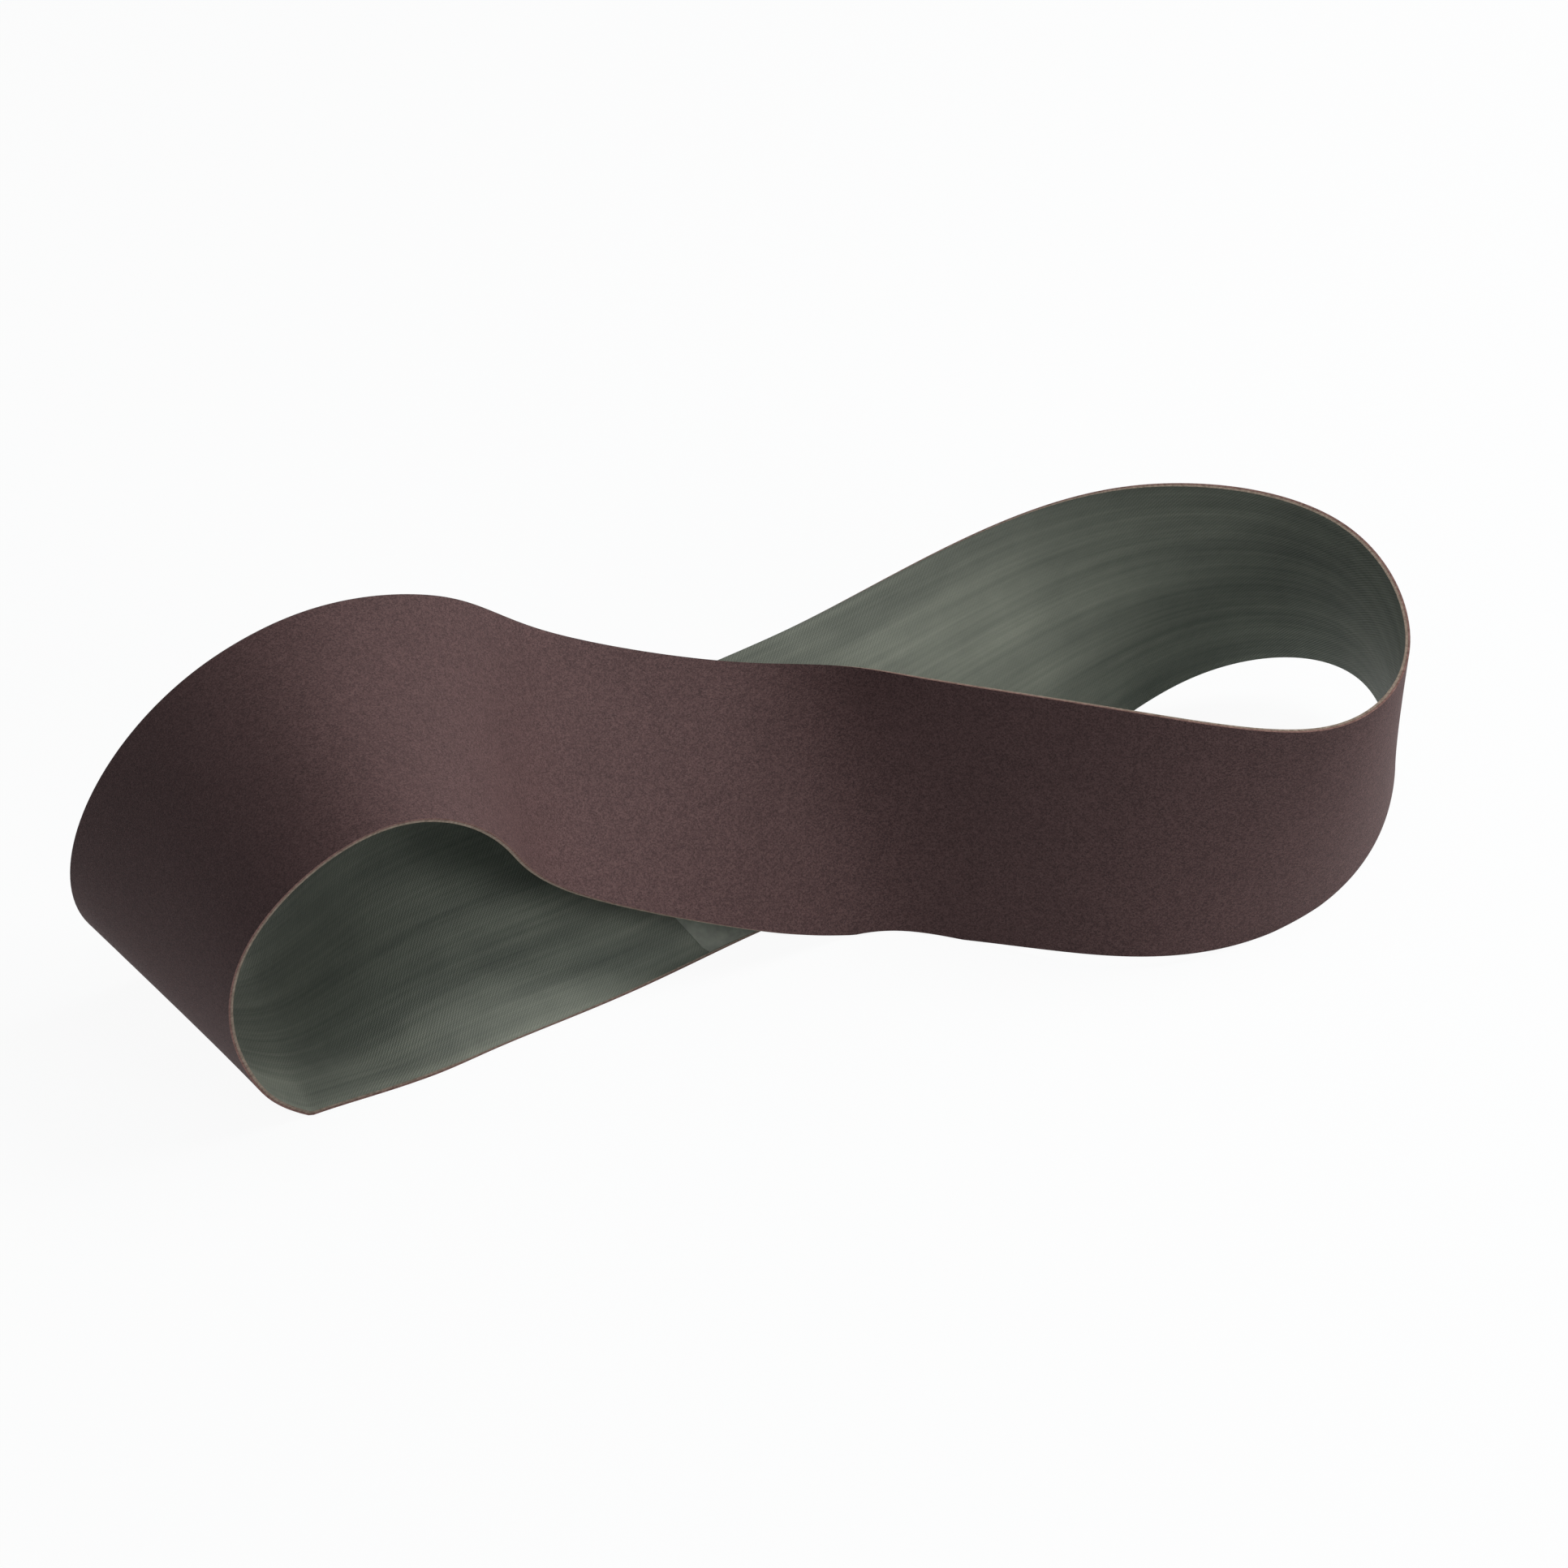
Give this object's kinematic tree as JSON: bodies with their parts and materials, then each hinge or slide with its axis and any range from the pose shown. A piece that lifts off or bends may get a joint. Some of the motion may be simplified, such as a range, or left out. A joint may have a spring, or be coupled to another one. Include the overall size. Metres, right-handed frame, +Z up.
{
  "type": "sanding belt",
  "caption": "Endless cloth-backed sanding belt lying loose: its left loop lies on its side, its right loop stands on edge, and the runs between them turn a quarter over.",
  "frame": {"origin": "on the bench, midway along and midway across the belt as it lies", "axes": "+X from the lying loop to the standing loop, +Y away from the front of the belt, +Z up"},
  "size_m": [0.3844, 0.1208, 0.1215],
  "materials": {
    "grain": "dull red-brown grain in hard resin, finely rough",
    "cloth": "tight grey-green twill filled with resin, dull, streaked lengthwise",
    "film": "thin pale film with a slight sheen"
  },
  "bodies": {
    "root": {"abrasive_coat": "grain", "cloth_backing": "cloth", "splice_tape": "film"}
  },
  "joints": []
}
